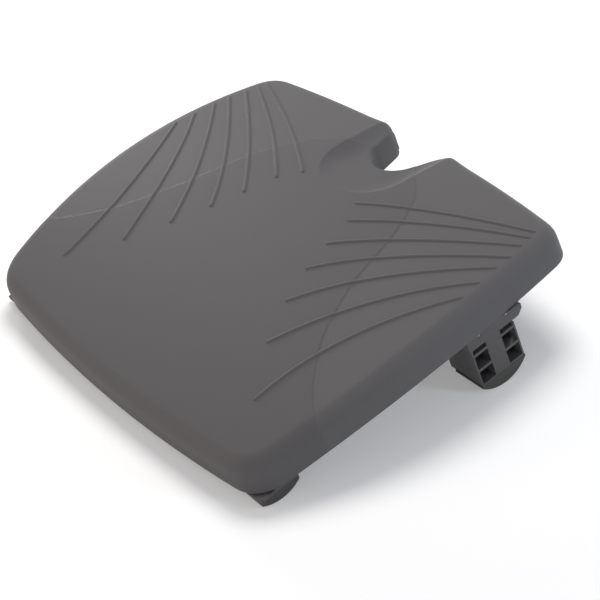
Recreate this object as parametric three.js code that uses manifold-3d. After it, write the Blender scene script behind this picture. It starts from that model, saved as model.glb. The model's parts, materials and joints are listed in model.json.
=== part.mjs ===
// Tilting under desk footrest, in millimetres.
// Every piece is laid out in the tray's own frame: X across, Y towards the back, Z out of the tray's top.
// The whole footrest is then tipped by its slope, so that all four soles meet one floor.
import * as THREE from 'three';
import { mergeVertices } from 'three/addons/utils/BufferGeometryUtils.js';
import Module from 'manifold-3d';

const wasm = await Module();
wasm.setup();

// Driving dimensions
const slope = THREE.MathUtils.degToRad(10.3);
const tray = {
  width: 450,
  depth: 356,
  sideBow: 25,
  rearBow: 15.6,
  frontBow: 11.8,
  rearCornerCut: 20,
  frontCornerCut: 27,
  rimHeight: 27,
  sideLean: 3.5,
  edgeRadius: 11.4,
  wall: 2.2,
  skin: 2.6,
  crownRadius: 850,
  rimRadius: 752,
};
const rib = { pitch: 45, thickness: 1.8, depth: 9 };
const scoop = { radius: 47, length: 99.6, depth: 7, flank: 5 };
const notch = { radius: 27, length: 51.2, flare: THREE.MathUtils.degToRad(19) };
const bead = { width: 3.2, height: 1.2 };

// Clearances and small shared sizes
const gap = 0.3;
const headroom = 0.8;
const overrun = 20;
const rimSeam = 2.4;
const bayMargin = 1.2;

// Feet: they are placed from the tray's ends and sides to their middle or outer side, travel is how far
// a leg slides, and drop is how far the front soles reach below the tray's top above them
const sole = { radius: 32, sideHeight: 2.2, plugRadius: 3, plugLength: 4, plugInset: 9 };
const socket = {
  wall: 2.4, flange: 2.4, ear: 9, flangeDrop: 15.5, overhang: 10, chamfer: 5, frontLean: 1.2,
};
const latch = {
  width: 11, thickness: 0.8, nose: 4.5, bite: 1.9, step: 7, padDepth: 3, padHeight: 9, tail: 1.5,
};
const leg = {
  cored: 3, stripHeight: 1.8, rowBar: 2.7, pocketDepth: 12, sidePost: 1.4, stem: 15.3,
};
const pin = { radius: 1.25, bite: 3.2, aside: 2.8 };
const screw = { shank: 1.5, headRadius: 3, headHeight: 2, reach: 9, boss: 4 };
const latchScrew = { shank: 1.2, headRadius: 2.4, headHeight: 1.5, reach: 3.4 };
const rearFootSizes = {
  fromRear: 117.4, length: 45, width: 44, faceInset: 4, soleLength: 46.6, soleInset: 5.5,
  collarDrop: 12.6, collarWall: 1.2, noseDrop: 23.5, travel: 14,
};
const frontFootSizes = {
  fromFront: 31.5, length: 29, width: 42, fromSide: 35, drop: 44.475, noseDrop: 18, travel: 14,
  blockLength: 37, blockOverhang: 14, blockHeight: 7,
};

// How finely the round shapes are faceted
const edgeSteps = 6;
const cornerSteps = 4;
const filletSteps = 3;
const roundSides = 8;
const beadSides = 6;
const beadSteps = 6;
const notchSteps = 10;
const flankSteps = 2;
const soleStep = THREE.MathUtils.degToRad(8);

// Ends of the raised beads: inner X and Y, then outer X and Y, as shares of the half width and half depth.
// The last share is the bead's bow, of its length.
const beadShares = [
  [0.668, -0.657, 0.930, 0.303, 0.065],
  [0.492, -0.412, 0.919, 0.412, 0.051],
  [0.388, -0.201, 0.904, 0.528, 0.048],
  [0.315, -0.010, 0.897, 0.617, 0.039],
  [0.269, 0.160, 0.876, 0.704, 0.027],
  [0.230, 0.328, 0.862, 0.768, 0.030],
  [0.167, 0.435, 0.849, 0.813, 0.027],
];

// Finishes
const finish = (color, roughness, metalness) => (
  new THREE.MeshStandardMaterial({ color, roughness, metalness })
);
const trayPlastic = finish(0x4b494b, 0.62, 0);
const legPlastic = finish(0x464546, 0.66, 0);
const rubber = finish(0x3a3a38, 0.85, 0);
const steel = finish(0x9a9b9d, 0.35, 0.9);

// From three.js geometry to a solid that can be cut, and back
function solid(geometry) {
  const bare = geometry.clone();
  bare.deleteAttribute('normal');
  bare.deleteAttribute('uv');
  const merged = mergeVertices(bare);
  const corners = [];
  for (let i = 0; i < merged.index.count; i += 3) {
    const [a, b, c] = [merged.index.getX(i), merged.index.getX(i + 1), merged.index.getX(i + 2)];
    if (a !== b && b !== c && c !== a) corners.push(a, b, c);
  }
  const vertProperties = new Float32Array(merged.attributes.position.array);
  const triVerts = new Uint32Array(corners);
  return new wasm.Manifold(new wasm.Mesh({ numProp: 3, vertProperties, triVerts }));
}

function geometryOf(shape) {
  const mesh = shape.getMesh();
  const geometry = new THREE.BufferGeometry();
  geometry.setAttribute('position', new THREE.BufferAttribute(new Float32Array(mesh.vertProperties), 3));
  geometry.setIndex(new THREE.BufferAttribute(new Uint32Array(mesh.triVerts), 1));
  return geometry;
}

function join(solids) {
  return solids.reduce((whole, next) => whole.add(next));
}

// A box from its lowest to its highest corner
function block(x0, x1, y0, y1, z0, z1) {
  const geometry = new THREE.BoxGeometry(x1 - x0, y1 - y0, z1 - z0);
  geometry.translate((x0 + x1) / 2, (y0 + y1) / 2, (z0 + z1) / 2);
  return solid(geometry);
}

function extruded(points, depth) {
  return new THREE.ExtrudeGeometry(new THREE.Shape(points), { depth, bevelEnabled: false });
}

// A flat outline in X and Y, made solid from z0 to z1
function prism(points, z0, z1) {
  return solid(extruded(points, z1 - z0).translate(0, 0, z0));
}

// A flat outline in Y and Z, made solid from x0 to x1
function sideways(points, x0, x1) {
  const geometry = extruded(points, x1 - x0);
  const axes = [new THREE.Vector3(0, 1, 0), new THREE.Vector3(0, 0, 1), new THREE.Vector3(1, 0, 0)];
  geometry.applyMatrix4(new THREE.Matrix4().makeBasis(...axes));
  return solid(geometry.translate(x0, 0, 0));
}

// A flat outline in X and Z, made solid from y0 to y1
function lengthways(points, y0, y1) {
  return solid(extruded(points, y1 - y0).rotateX(Math.PI / 2).translate(0, y1, 0));
}

// A round bar standing along Z, or laid along X or Y, from one end to the other
function bar(radius, axis, x, y, z, length) {
  const geometry = new THREE.CylinderGeometry(radius, radius, length, roundSides);
  if (axis === 'x') geometry.rotateZ(-Math.PI / 2).translate(x + length / 2, y, z);
  if (axis === 'y') geometry.translate(x, y + length / 2, z);
  if (axis === 'z') geometry.rotateX(Math.PI / 2).translate(x, y, z + length / 2);
  return solid(geometry);
}

// A pan head screw that points up along Z, its head under z
function panScrew(sizes, grip) {
  const profile = [
    new THREE.Vector2(0, -sizes.headHeight),
    new THREE.Vector2(sizes.headRadius / 2, -sizes.headHeight),
    new THREE.Vector2(sizes.headRadius, -sizes.headHeight / 2),
    new THREE.Vector2(sizes.headRadius, 0),
    new THREE.Vector2(sizes.shank, 0),
    new THREE.Vector2(sizes.shank, grip + sizes.reach),
    new THREE.Vector2(0, grip + sizes.reach + sizes.shank),
  ];
  return new THREE.LatheGeometry(profile, roundSides).rotateX(Math.PI / 2);
}

// Places that follow from the driving dimensions
const halfWidth = tray.width / 2;
const halfDepth = tray.depth / 2;
const cornerX = halfWidth - tray.sideBow;
const frontCornerY = tray.frontBow - halfDepth;
const rearCornerY = halfDepth - tray.rearBow;
const scoopEndY = halfDepth - scoop.length;
const notchEndY = halfDepth - notch.length;
const frontOuterX = halfWidth - frontFootSizes.fromSide;
const rearFoot = {
  ...rearFootSizes,
  y: halfDepth - rearFootSizes.fromRear,
  innerX: halfWidth - rearFootSizes.width,
  faceX: halfWidth - rearFootSizes.faceInset,
  collarX: halfWidth - rearFootSizes.faceInset + gap + rearFootSizes.collarWall,
};
const frontFoot = {
  ...frontFootSizes,
  y: frontFootSizes.fromFront - halfDepth,
  innerX: frontOuterX - frontFootSizes.width,
  outerX: frontOuterX,
  blockOuterX: frontOuterX + frontFootSizes.blockOverhang,
};

// The tray's outline, drawn in from its edge by an inset
function bowedEdge(from, to, bow) {
  const middle = from.clone().add(to).multiplyScalar(1 / 2);
  const outward = new THREE.Vector2(to.y - from.y, from.x - to.x).normalize();
  return new THREE.QuadraticBezierCurve(from, middle.addScaledVector(outward, 2 * bow), to);
}

function edgeCurve() {
  const corners = [
    new THREE.Vector2(cornerX, frontCornerY),
    new THREE.Vector2(cornerX, rearCornerY),
    new THREE.Vector2(-cornerX, rearCornerY),
    new THREE.Vector2(-cornerX, frontCornerY),
  ];
  const bows = [tray.sideBow, tray.rearBow, tray.sideBow, tray.frontBow];
  const cuts = [tray.frontCornerCut, tray.rearCornerCut, tray.rearCornerCut, tray.frontCornerCut];
  const edges = corners.map((corner, i) => bowedEdge(corner, corners[(i + 1) % corners.length], bows[i]));
  const points = [];
  edges.forEach((edge, i) => {
    const next = (i + 1) % edges.length;
    const start = cuts[i] / edge.getLength();
    const end = 1 - cuts[next] / edge.getLength();
    for (let k = 0; k <= edgeSteps; k += 1) {
      points.push(edge.getPoint(start + (end - start) * k / edgeSteps));
    }
    const leave = points[points.length - 1];
    const enter = edges[next].getPoint(cuts[next] / edges[next].getLength());
    const round = new THREE.QuadraticBezierCurve(leave, corners[next], enter);
    for (let k = 1; k < cornerSteps; k += 1) {
      points.push(round.getPoint(k / cornerSteps));
    }
  });
  return points;
}

function outline(inset) {
  const points = edgeCurve();
  return points.map((point, i) => {
    const before = points[(i + points.length - 1) % points.length];
    const after = points[(i + 1) % points.length];
    const inward = new THREE.Vector2(before.y - after.y, after.x - before.x).normalize();
    return point.clone().addScaledVector(inward, inset);
  });
}

// Height of a level of the flat tray on its arc, which is a little tighter at the rim than at the crown
function arc(y, z) {
  const down = -z / tray.rimHeight;
  return z - y * y / 2 * ((1 - down) / tray.crownRadius + down / tray.rimRadius);
}

// The same height on the faceted crown, whose flat strips are one rib pitch long
function crown(y, z) {
  const from = Math.floor(y / rib.pitch) * rib.pitch;
  return THREE.MathUtils.lerp(arc(from, z), arc(from + rib.pitch, z), (y - from) / rib.pitch);
}

// The sides lean outwards, most at the rim's lower edge
function leaned(x, z) {
  return x * (1 - z / tray.rimHeight * tray.sideLean / halfWidth);
}

// The triangles of a flat solid are split at even steps of Y, and then lean and follow the crown
function splitTriangle(triangle, y) {
  if (triangle.every((p) => p.y <= y) || triangle.every((p) => p.y >= y)) return [triangle];
  const sides = { low: [], high: [] };
  triangle.forEach((p, i) => {
    const q = triangle[(i + 1) % triangle.length];
    if (p.y <= y) sides.low.push(p);
    if (p.y >= y) sides.high.push(p);
    if ((p.y < y && q.y > y) || (p.y > y && q.y < y)) {
      const [under, over] = p.y < q.y ? [p, q] : [q, p];
      const crossing = under.clone().lerp(over, (y - under.y) / (over.y - under.y)).setY(y);
      sides.low.push(crossing);
      sides.high.push(crossing);
    }
  });
  return [sides.low, sides.high].flatMap((ring) => ring.slice(2).map((p, i) => [ring[0], ring[i + 1], p]));
}

function bend(flat) {
  const geometry = geometryOf(flat);
  const points = Array.from(geometry.index.array, (i) => (
    new THREE.Vector3().fromBufferAttribute(geometry.attributes.position, i)
  ));
  let triangles = [];
  for (let i = 0; i < points.length; i += 3) triangles.push(points.slice(i, i + 3));
  const strips = Math.ceil(halfDepth / rib.pitch);
  for (let k = -strips; k <= strips; k += 1) {
    triangles = triangles.flatMap((triangle) => splitTriangle(triangle, k * rib.pitch));
  }
  const bent = triangles.flat().map((p) => new THREE.Vector3(leaned(p.x, p.z), p.y, crown(p.y, p.z)));
  return solid(new THREE.BufferGeometry().setFromPoints(bent));
}

// Places that the feet, sockets and soles share
const floorDrop = -frontFoot.y * Math.sin(slope)
  + (frontFoot.drop - arc(frontFoot.y, 0) - sole.radius) * Math.cos(slope) + sole.radius;
const centreZ = (y) => (sole.radius - floorDrop - y * Math.sin(slope)) / Math.cos(slope);
const soleTop = (y, length) => (
  centreZ(y) - Math.sqrt(sole.radius ** 2 - (length / 2) ** 2) + sole.sideHeight
);
const rearSoleTop = soleTop(rearFoot.y, rearFoot.soleLength);
const frontSoleTop = soleTop(frontFoot.y, frontFoot.blockLength);
const rearY = [rearFoot.y - rearFoot.length / 2, rearFoot.y + rearFoot.length / 2];
const frontY = [frontFoot.y - frontFoot.length / 2, frontFoot.y + frontFoot.length / 2];
const rearSocketTop = crown(rearY[1] + socket.overhang, -tray.skin) - headroom;
const frontSocketTop = crown(frontY[0] - socket.wall, -tray.skin) - headroom;
const rearLegTop = crown(rearY[1], -tray.skin) - headroom - rearFoot.travel;
const frontLegTop = frontSocketTop;
const collarBottom = crown(rearFoot.y, -tray.rimHeight) - rearFoot.collarDrop;
const frontBlockTop = frontSoleTop + frontFoot.blockHeight;
const frontSocketBottom = frontBlockTop + gap;
const rearFlangeTop = rearSocketTop - socket.flangeDrop + socket.flange;
const frontFlangeTop = frontSocketTop - socket.flangeDrop + socket.flange;
const frontPinZ = frontLegTop - leg.cored - gap - pin.radius - frontFoot.travel;
const columnY = [
  rearY[0] + leg.sidePost,
  rearFoot.y - leg.stem / 2,
  rearFoot.y + leg.stem / 2,
  rearY[1] - leg.sidePost,
];
const rearPinY = [
  (columnY[0] + columnY[1]) / 2 + pin.aside,
  (columnY[2] + columnY[3]) / 2 + pin.aside,
];

// The rear pins lie just under the rim, and two rows of pockets fill the leg below the pins' slots
const rearPinZ = crown(rearPinY[1], -tray.rimHeight) - gap - pin.radius;
const slotBottom = rearPinZ - rearFoot.travel - pin.radius - gap;
const rowBottom = rearSoleTop + leg.stripHeight;
const rowPitch = (slotBottom - rowBottom) / 2;

const frontPinX = [frontFoot.innerX + frontFoot.length / 3, frontFoot.outerX - frontFoot.length / 3];

// Screw places, from the edges of the flanges
const wallX = (foot) => foot.innerX - gap - socket.wall;
const earMiddle = socket.ear / 2;
const rearScrews = [
  [rearFoot.innerX + earMiddle, rearY[0] - gap - socket.wall - earMiddle],
  [halfWidth - tray.wall - 3 * socket.ear / 2, rearY[0] - gap - socket.wall - earMiddle],
  [rearFoot.innerX + earMiddle, rearY[1] + socket.overhang + earMiddle],
  [halfWidth - tray.wall - 2 * socket.ear, rearY[1] + socket.overhang + earMiddle],
];
const frontScrews = [
  [frontFoot.innerX + earMiddle, frontY[1] + gap + socket.wall + earMiddle],
  [frontFoot.outerX - earMiddle, frontY[1] + gap + socket.wall + earMiddle],
  [wallX(frontFoot) - earMiddle, frontY[0] + earMiddle / 2],
  [wallX(frontFoot) - earMiddle, frontY[1] - earMiddle / 2],
];

// Tray
function domedBlock(inset, top) {
  const radius = tray.edgeRadius - inset;
  const geometry = new THREE.ExtrudeGeometry(new THREE.Shape(outline(inset)), {
    depth: tray.depth,
    bevelSize: radius,
    bevelOffset: -radius,
    bevelThickness: radius,
    bevelSegments: filletSteps,
  });
  return solid(geometry.translate(0, 0, top - tray.depth - radius));
}

function notchBlock(grow) {
  const radius = notch.radius + grow;
  const centreY = notchEndY + notch.radius;
  const points = [];
  for (let k = 0; k <= notchSteps; k += 1) {
    const angle = notch.flare + (Math.PI - 2 * notch.flare) * k / notchSteps;
    points.push(new THREE.Vector2(radius * Math.cos(angle), centreY - radius * Math.sin(angle)));
  }
  const openY = halfDepth + overrun;
  const openX = points[0].x + (openY - points[0].y) * Math.tan(notch.flare);
  points.push(new THREE.Vector2(-openX, openY), new THREE.Vector2(openX, openY));
  return prism(points.reverse(), -tray.rimHeight - overrun, overrun);
}

function scoopBlock(grow) {
  const radius = scoop.radius + grow;
  const centreY = scoopEndY + scoop.radius;
  const points = [];
  for (let k = 0; k <= notchSteps; k += 1) {
    const angle = Math.PI * (1 + k / notchSteps);
    points.push(new THREE.Vector2(radius * Math.cos(angle), centreY + radius * Math.sin(angle)));
  }
  const rampEnd = halfDepth + overrun;
  points.push(new THREE.Vector2(radius, rampEnd), new THREE.Vector2(-radius, rampEnd));
  const bowl = new THREE.ExtrudeGeometry(new THREE.Shape(points), {
    depth: overrun,
    bevelSize: scoop.flank,
    bevelOffset: -scoop.flank,
    bevelThickness: scoop.depth,
    bevelSegments: flankSteps,
  });
  const ramp = sideways([
    new THREE.Vector2(scoopEndY - grow, -grow),
    new THREE.Vector2(notchEndY, -scoop.depth - grow),
    new THREE.Vector2(rampEnd, -scoop.depth - grow),
    new THREE.Vector2(rampEnd, overrun),
    new THREE.Vector2(scoopEndY - grow, overrun),
  ], -tray.width, tray.width);
  return solid(bowl.translate(0, 0, -grow)).intersect(ramp);
}

function beads() {
  const circle = new THREE.EllipseCurve(0, 0, bead.width / 2, bead.width / 2);
  const section = new THREE.Shape(circle.getPoints(beadSides));
  const made = [];
  beadShares.forEach(([innerX, innerY, outerX, outerY, bowShare]) => {
    [1, -1].forEach((side) => {
      const inner = new THREE.Vector2(side * innerX * halfWidth, innerY * halfDepth);
      const outer = new THREE.Vector2(side * outerX * halfWidth, outerY * halfDepth);
      const flat = bowedEdge(inner, outer, -side * bowShare * inner.distanceTo(outer));
      const level = bead.height - bead.width / 2;
      const path = new THREE.QuadraticBezierCurve3(
        new THREE.Vector3(flat.v0.x, flat.v0.y, level),
        new THREE.Vector3(flat.v1.x, flat.v1.y, level),
        new THREE.Vector3(flat.v2.x, flat.v2.y, level),
      );
      made.push(solid(new THREE.ExtrudeGeometry(section, { steps: beadSteps, extrudePath: path })));
    });
  });
  return join(made);
}

// The clear bay in the tray's ribs for one foot, in the right half of the tray
function bayBox(foot, grow) {
  const isRear = foot === rearFoot;
  const leafRoom = latch.padDepth + latchScrew.headHeight + latch.thickness + 2 * gap;
  const back = isRear ? rearY[1] + socket.overhang : frontY[1] + gap + socket.wall;
  const front = isRear ? rearY[0] - gap - socket.wall - socket.ear : -tray.depth;
  const inner = isRear ? leafRoom : socket.ear;
  const x0 = wallX(foot) - inner - bayMargin - grow;
  const y0 = front - bayMargin - grow;
  const y1 = back + socket.ear + bayMargin + grow;
  return block(x0, tray.width, y0, y1, -tray.rimHeight - overrun, overrun);
}

function bothSides(shape) {
  return shape.add(shape.mirror([1, 0, 0]));
}

function ribGrid() {
  const bottom = -tray.skin - rib.depth;
  const plates = [];
  for (let x = 0; x < halfWidth; x += rib.pitch) {
    [x, -x].forEach((at) => plates.push(
      block(at - rib.thickness / 2, at + rib.thickness / 2, -halfDepth, halfDepth, bottom, 0),
    ));
  }
  for (let y = 0; y < halfDepth; y += rib.pitch) {
    [y, -y].forEach((at) => plates.push(
      block(-halfWidth, halfWidth, at - rib.thickness / 2, at + rib.thickness / 2, bottom, 0),
    ));
  }
  const bays = bothSides(bayBox(rearFoot, 0).add(bayBox(frontFoot, 0)));
  const frames = bothSides(bayBox(rearFoot, rib.thickness).add(bayBox(frontFoot, rib.thickness)));
  const span = block(-tray.width, tray.width, -tray.depth, tray.depth, bottom, 0);
  return join(plates).add(frames.intersect(span)).subtract(bays);
}

// Posts under the skin that take the socket screws
function bosses(places, flangeTop) {
  return join(places.map(([x, y]) => {
    const bottom = flangeTop + gap;
    return bar(screw.boss, 'z', x, y, bottom, crown(y, -tray.skin / 2) - bottom);
  }));
}

function bossHoles(places, flangeTop) {
  return join(places.map(([x, y]) => (
    bar(screw.shank + gap, 'z', x, y, flangeTop - overrun, overrun + screw.reach + 2 * screw.shank)
  )));
}

function traySolid() {
  const inside = domedBlock(tray.wall, -tray.skin);
  const above = block(-tray.width, tray.width, -tray.depth, tray.depth, -tray.rimHeight, overrun);
  const kept = join([ribGrid(), notchBlock(tray.wall), scoopBlock(tray.skin)]);
  const flat = domedBlock(0, 0)
    .intersect(above)
    .subtract(inside.subtract(kept))
    .add(beads())
    .subtract(scoopBlock(0))
    .subtract(notchBlock(0));
  const posts = bosses(rearScrews, rearFlangeTop).add(bosses(frontScrews, frontFlangeTop));
  const holes = bossHoles(rearScrews, rearFlangeTop).add(bossHoles(frontScrews, frontFlangeTop));
  return bend(flat).add(bothSides(posts)).subtract(bothSides(holes));
}

// The rim and skin with their clearance: whatever moves or sits under the tray is cut back by them
function makeTraySpace() {
  const around = prism(outline(-overrun), -tray.rimHeight - gap, overrun);
  return bend(around.subtract(domedBlock(tray.wall + gap, -tray.skin - gap)));
}

// Sockets
const traySpace = makeTraySpace();
const spanAll = [-tray.width, tray.width];
const insideRim = prism(outline(tray.wall + gap), -tray.depth, tray.depth);

function flangeHoles(places, flangeTop) {
  return join(places.map(([x, y]) => (
    bar(screw.shank + gap, 'z', x, y, flangeTop - overrun, 2 * overrun)
  )));
}

// The leaf's pad, its window in the wall and its screw hole, the same on every socket
function fitLatch(body, foot, top) {
  const x = wallX(foot);
  const half = latch.width / 2;
  const noseZ = top - foot.noseDrop;
  const pad = block(
    x - latch.padDepth, x + socket.wall / 2, foot.y - half, foot.y + half, top - latch.padHeight, top,
  );
  const window = block(
    x - overrun, foot.innerX, foot.y - half - gap, foot.y + half + gap,
    noseZ - latch.nose - gap, noseZ + latch.nose + gap,
  );
  const hole = bar(
    latchScrew.shank + gap, 'x', x - overrun, foot.y, top - latch.padHeight / 2,
    overrun - latch.padDepth + latchScrew.reach + latchScrew.shank + gap,
  );
  return body.add(pad).subtract(window).subtract(hole);
}

function rearSocket() {
  const x0 = wallX(rearFoot);
  const y0 = rearY[0] - gap - socket.wall;
  const y1 = rearY[1] + socket.overhang;
  const sleeve = sideways([
    new THREE.Vector2(y0 + socket.frontLean, collarBottom),
    new THREE.Vector2(y1 - socket.chamfer, collarBottom),
    new THREE.Vector2(y1, collarBottom + socket.chamfer),
    new THREE.Vector2(y1, rearSocketTop),
    new THREE.Vector2(y0, rearSocketTop),
  ], x0, rearFoot.collarX);
  const flange = block(
    x0, halfWidth, y0 - socket.ear, y1 + socket.ear, rearFlangeTop - socket.flange, rearFlangeTop,
  );
  const passage = block(
    rearFoot.innerX - gap, rearFoot.faceX + gap, rearY[0] - gap, rearY[1] + gap, ...spanAll,
  );
  const pinHoles = join(rearPinY.map((y) => (
    bar(pin.radius + gap, 'x', halfWidth - overrun, y, rearPinZ, 2 * overrun)
  )));
  const body = sleeve.add(flange)
    .subtract(traySpace)
    .subtract(passage)
    .subtract(flangeHoles(rearScrews, rearFlangeTop))
    .subtract(pinHoles);
  return fitLatch(body, rearFoot, rearSocketTop);
}

function frontSocket() {
  const x0 = wallX(frontFoot);
  const x1 = frontFoot.outerX + gap + socket.wall;
  const y0 = frontY[0] - gap - socket.wall;
  const y1 = frontY[1] + gap + socket.wall;
  const sleeve = block(x0, x1, y0, y1, frontSocketBottom, frontSocketTop);
  const flangeZ = [frontFlangeTop - socket.flange, frontFlangeTop];
  const flange = block(x0, x1, y0, y1 + socket.ear, ...flangeZ)
    .add(block(x0 - socket.ear, x0 + socket.wall, y0, y1, ...flangeZ));
  const passage = block(
    frontFoot.innerX - gap, frontFoot.outerX + gap, frontY[0] - gap, frontY[1] + gap, ...spanAll,
  );
  const half = latch.width / 2 + gap;
  const leafRoom = block(x0 - socket.ear, x0, frontFoot.y - half, frontFoot.y + half, ...spanAll);
  const pinHoles = join(frontPinX.map((x) => (
    bar(pin.radius + gap, 'y', x, frontY[1] - pin.bite, frontPinZ, overrun)
  )));
  const body = sleeve.add(flange.subtract(leafRoom))
    .intersect(insideRim)
    .subtract(traySpace)
    .subtract(passage)
    .subtract(flangeHoles(frontScrews, frontFlangeTop))
    .subtract(pinHoles);
  return fitLatch(body, frontFoot, frontSocketTop);
}

// Legs: one groove for the leaf's nose at each stop along the leg's travel
function clickGrooves(foot, top, direction) {
  const depth = latch.bite + 2 * gap;
  const half = latch.nose / 2 + gap;
  const flare = overrun * half / depth;
  const halfSpan = latch.width / 2 + gap;
  const grooves = [];
  for (let k = 0; k <= Math.round(foot.travel / latch.step); k += 1) {
    const z = top - foot.noseDrop + direction * k * latch.step;
    grooves.push(lengthways([
      new THREE.Vector2(foot.innerX - overrun, z - half - flare),
      new THREE.Vector2(foot.innerX + depth, z),
      new THREE.Vector2(foot.innerX - overrun, z + half + flare),
    ], foot.y - halfSpan, foot.y + halfSpan));
  }
  return join(grooves);
}

function plugPlaces(x0, x1, y) {
  return [[x0 + sole.plugInset, y], [x1 - sole.plugInset, y]];
}

function plugHoles(places, top) {
  return join(places.map(([x, y]) => (
    bar(sole.plugRadius + gap, 'z', x, y, top - overrun, overrun + sole.plugLength + gap)
  )));
}

const rearPlugs = plugPlaces(rearFoot.innerX + rearFoot.soleInset, rearFoot.faceX, rearFoot.y);
const frontPlugs = plugPlaces(frontFoot.innerX, frontFoot.blockOuterX, frontFoot.y);

function rearLeg() {
  const post = block(rearFoot.innerX, rearFoot.faceX, ...rearY, rearSoleTop, rearLegTop);
  const floorX = rearFoot.faceX - leg.pocketDepth;
  const columns = [[columnY[0], columnY[1]], [columnY[2], columnY[3]]];
  const pockets = columns.flatMap(([y0, y1]) => [
    block(floorX, tray.width, y0, y1, rowBottom, rowBottom + rowPitch - leg.rowBar),
    block(floorX, tray.width, y0, y1, rowBottom + rowPitch, slotBottom - leg.rowBar),
    block(floorX, tray.width, y0, y1, slotBottom, rearPinZ + pin.radius + gap),
  ]);
  const core = block(
    rearFoot.innerX + 2 * leg.cored, floorX - leg.cored, rearY[0] + leg.cored, rearY[1] - leg.cored,
    rearSoleTop + sole.plugLength + leg.cored, rearLegTop + overrun,
  );
  return post
    .subtract(traySpace.translate([0, 0, -rearFoot.travel]))
    .subtract(join(pockets))
    .subtract(core)
    .subtract(clickGrooves(rearFoot, rearSocketTop, -1))
    .subtract(plugHoles(rearPlugs, rearSoleTop));
}

function frontLeg() {
  const post = block(frontFoot.innerX, frontFoot.outerX, ...frontY, frontSoleTop, frontLegTop)
    .subtract(traySpace);
  const half = frontFoot.blockLength / 2;
  const base = block(
    frontFoot.innerX, frontFoot.blockOuterX, frontFoot.y - half, frontFoot.y + half,
    frontSoleTop, frontBlockTop,
  ).subtract(traySpace.translate([0, 0, gap - rimSeam]));
  const slots = frontPinX.map((x) => block(
    x - pin.radius - gap, x + pin.radius + gap, frontY[1] - pin.bite - gap, frontY[1] + overrun,
    frontPinZ - pin.radius - gap, frontLegTop - leg.cored,
  ));
  const core = block(
    frontFoot.innerX + 2 * leg.cored, frontFoot.outerX - leg.cored, frontY[0] + leg.cored,
    frontY[1] - pin.bite - leg.cored, frontSoleTop + sole.plugLength + leg.cored, frontLegTop + overrun,
  );
  return post
    .subtract(join(slots))
    .subtract(core)
    .add(base)
    .subtract(clickGrooves(frontFoot, frontSocketTop, 1))
    .subtract(plugHoles(frontPlugs, frontSoleTop));
}

// Soles: a rocker arc whose one facet lies flat on the floor
function soleSolid(y, length, x0, x1, top, plugs) {
  const centre = centreZ(y);
  const radius = sole.radius / Math.cos(soleStep / 2);
  const limit = Math.asin(length / 2 / radius);
  const angles = [-limit];
  const first = Math.ceil((-limit + slope) / soleStep - 1 / 2);
  for (let k = first; -slope + (k + 1 / 2) * soleStep < limit; k += 1) {
    angles.push(-slope + (k + 1 / 2) * soleStep);
  }
  angles.push(limit);
  const points = angles.map((angle) => (
    new THREE.Vector2(y + radius * Math.sin(angle), centre - radius * Math.cos(angle))
  ));
  points.push(new THREE.Vector2(y + length / 2, top - gap), new THREE.Vector2(y - length / 2, top - gap));
  const stubs = plugs.map(([x, at]) => (
    bar(sole.plugRadius, 'z', x, at, top - 2 * gap, sole.plugLength + 2 * gap)
  ));
  return join([sideways(points, x0, x1), ...stubs]);
}

function rearSole() {
  const x0 = rearFoot.innerX + rearFoot.soleInset;
  return soleSolid(rearFoot.y, rearFoot.soleLength, x0, rearFoot.faceX, rearSoleTop, rearPlugs);
}

function frontSole() {
  return soleSolid(
    frontFoot.y, frontFoot.blockLength, frontFoot.innerX, frontFoot.blockOuterX, frontSoleTop, frontPlugs,
  );
}

// Click springs: a bent steel leaf whose nose sits in a groove of the leg
function leaf(foot, top) {
  const noseZ = top - foot.noseDrop;
  const wall = wallX(foot) - gap - latch.thickness;
  const pad = wall - latch.padDepth;
  const padBottom = top - latch.padHeight;
  const line = [
    [pad, top],
    [pad, padBottom],
    [wall, padBottom - latch.padDepth / 2],
    [wall, noseZ + latch.nose / 2],
    [foot.innerX + latch.bite - latch.thickness, noseZ],
    [wall, noseZ - latch.nose / 2],
    [wall, noseZ - latch.nose / 2 - latch.tail],
  ];
  const near = line.map(([x, z]) => new THREE.Vector2(x, z));
  const far = line.map(([x, z]) => new THREE.Vector2(x + latch.thickness, z)).reverse();
  const half = latch.width / 2;
  const strip = lengthways([...near, ...far], foot.y - half + gap, foot.y + half - gap);
  const holeZ = top - latch.padHeight / 2;
  const hole = bar(latchScrew.shank + gap, 'x', pad - overrun, foot.y, holeZ, 2 * overrun);
  return strip.subtract(hole);
}

function leafScrew(foot, top) {
  const headX = wallX(foot) - gap - latch.thickness - latch.padDepth - gap;
  const geometry = panScrew(latchScrew, gap + latch.thickness + gap);
  return solid(geometry.rotateY(Math.PI / 2).translate(headX, foot.y, top - latch.padHeight / 2));
}

function socketScrew([x, y], flangeTop) {
  return solid(panScrew(screw, socket.flange + gap).translate(x, y, flangeTop - socket.flange - gap));
}

function rearPin(y) {
  const inner = rearFoot.faceX - pin.bite;
  return bar(pin.radius, 'x', inner, y, rearPinZ, rearFoot.collarX - gap - inner);
}

function frontPin(x) {
  return bar(pin.radius, 'y', x, frontY[1] - pin.bite + gap, frontPinZ, pin.bite + socket.wall + gap);
}

// Assembly
const footrest = new THREE.Group();
const tipped = new THREE.Group();
tipped.rotation.x = slope;
footrest.add(tipped);

function addPiece(name, geometry, material) {
  const mesh = new THREE.Mesh(geometry, material);
  mesh.name = name;
  tipped.add(mesh);
}

// The same piece on the right and, mirrored, on the left
function addPair(end, piece, shape, material) {
  addPiece(`${end}_right_${piece}`, geometryOf(shape), material);
  addPiece(`${end}_left_${piece}`, geometryOf(shape.mirror([1, 0, 0])), material);
}

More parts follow.
